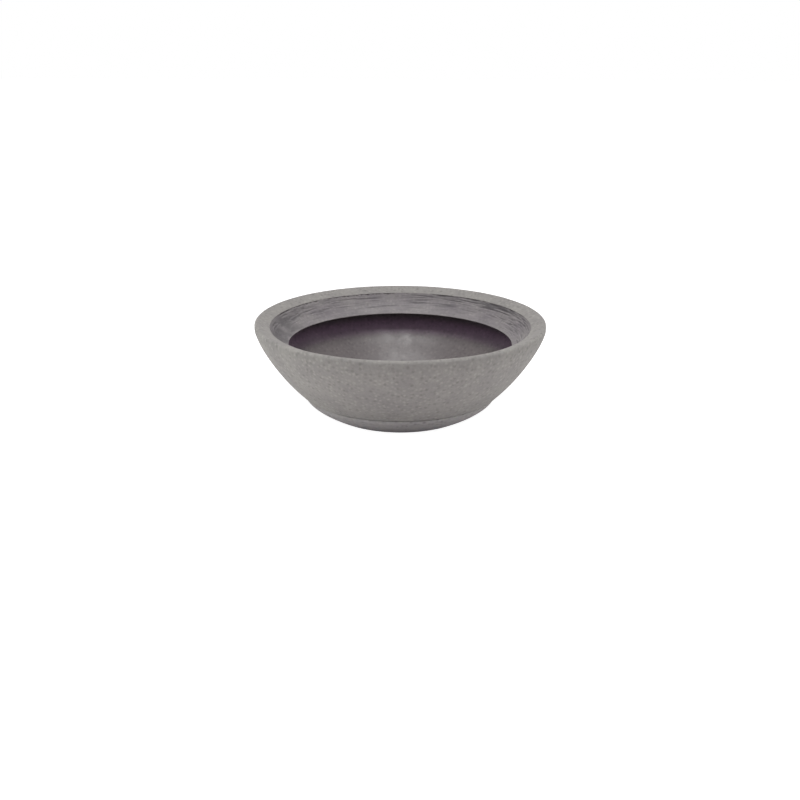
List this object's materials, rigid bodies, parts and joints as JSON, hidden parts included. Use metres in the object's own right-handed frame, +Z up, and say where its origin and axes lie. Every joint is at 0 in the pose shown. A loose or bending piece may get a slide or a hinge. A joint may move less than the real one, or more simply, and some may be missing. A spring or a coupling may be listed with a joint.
{
  "type": "flower pot with drip saucer",
  "caption": "Low round flower pot with a folded, undercut rim, standing in a fitted drip saucer, with pull-out rubber plugs in its drain holes.",
  "frame": {"origin": "on the pot's axis, at floor level under the saucer's stand ring", "axes": "+Z up along the pot's axis, towards the open rim; +X passes through drain plug 1 and +Y through drain plug 2"},
  "size_m": [0.3999, 0.4, 0.132],
  "materials": {
    "stone_grey_plastic": "matte rotationally moulded polyethylene, fine speckled stone effect",
    "band_plastic": "the pot's matte polyethylene, scored with fine horizontal marks",
    "saucer_plastic": "matte moulded polyethylene, slightly darker than the pot",
    "plug_rubber": "matte black moulded rubber"
  },
  "bodies": {
    "saucer": {"drip_saucer": "saucer_plastic"},
    "pot": {"bowl": "stone_grey_plastic", "rim_band": "band_plastic"},
    "plug_1": {"drain_plug_1": "plug_rubber"},
    "plug_2": {"drain_plug_2": "plug_rubber"},
    "plug_3": {"drain_plug_3": "plug_rubber"},
    "plug_4": {"drain_plug_4": "plug_rubber"}
  },
  "joints": [
    {"name": "pot_lift", "type": "slide", "parent": "saucer", "child": "pot", "axis": [0, 0, 1], "range_m": [0, 0.15]},
    {"name": "plug_1_pull", "type": "slide", "parent": "pot", "child": "plug_1", "axis": [0, 0, 1], "range_m": [0, 0.14]},
    {"name": "plug_2_pull", "type": "slide", "parent": "pot", "child": "plug_2", "axis": [0, 0, 1], "range_m": [0, 0.14]},
    {"name": "plug_3_pull", "type": "slide", "parent": "pot", "child": "plug_3", "axis": [0, 0, 1], "range_m": [0, 0.14]},
    {"name": "plug_4_pull", "type": "slide", "parent": "pot", "child": "plug_4", "axis": [0, 0, 1], "range_m": [0, 0.14]}
  ]
}
